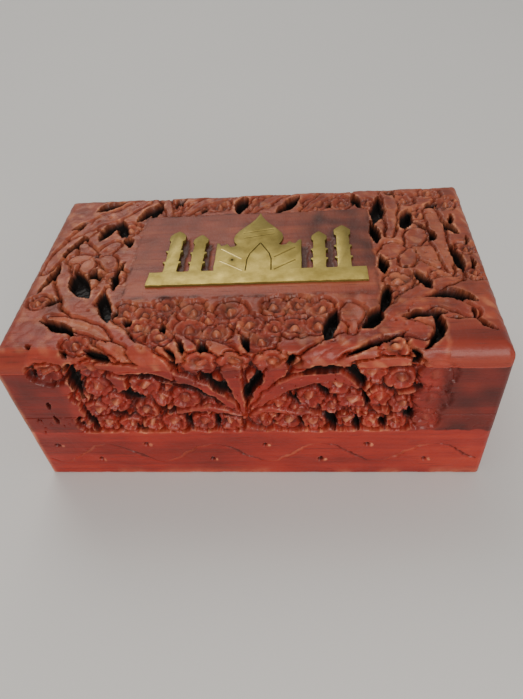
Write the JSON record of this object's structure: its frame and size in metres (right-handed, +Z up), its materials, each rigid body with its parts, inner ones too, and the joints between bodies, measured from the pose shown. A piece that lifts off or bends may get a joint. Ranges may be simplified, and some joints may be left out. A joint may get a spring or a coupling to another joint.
{
  "type": "trinket box",
  "caption": "Rectangular carved hardwood keepsake box with a hinged lid, relief flowers on the front and lid border, and a cut brass inlay on the lid.",
  "frame": {"origin": "centre of the underside", "axes": "+X along the length, +Y from the front to the hinged back, +Z up"},
  "size_m": [0.152, 0.09, 0.0608],
  "materials": {
    "carved_wood": "red-brown stain under satin lacquer, worn",
    "plain_wood": "red-brown stain, satin",
    "inlay_brass": "aged sheet brass",
    "hinge_brass": "dull brass",
    "hinge_steel": "drawn wire",
    "velvet": "short pile velvet"
  },
  "bodies": {
    "base": {"base_front_wall": "carved_wood", "base_back_wall": "plain_wood", "base_left_wall": "carved_wood", "base_right_wall": "carved_wood", "base_floor_panel": "plain_wood", "floor_lining": "velvet", "hinge_left_base_leaf": "hinge_brass", "hinge_right_base_leaf": "hinge_brass", "hinge_left_pin": "hinge_steel", "hinge_right_pin": "hinge_steel", "base_hinge_screws": "hinge_brass"},
    "lid": {"lid_top_board": "carved_wood", "lid_front_rim": "carved_wood", "lid_back_rim": "plain_wood", "lid_left_rim": "carved_wood", "lid_right_rim": "carved_wood", "lid_lining": "velvet", "brass_inlay": "inlay_brass", "inlay_pin": "inlay_brass", "hinge_left_lid_leaf": "hinge_brass", "hinge_right_lid_leaf": "hinge_brass", "lid_hinge_screws": "hinge_brass"}
  },
  "joints": [
    {"name": "lid_hinge", "type": "hinge", "parent": "base", "child": "lid", "pos_m": [0, 0.0425, 0.0321], "axis": [-1, 0, 0], "range_deg": [0, 100]}
  ]
}
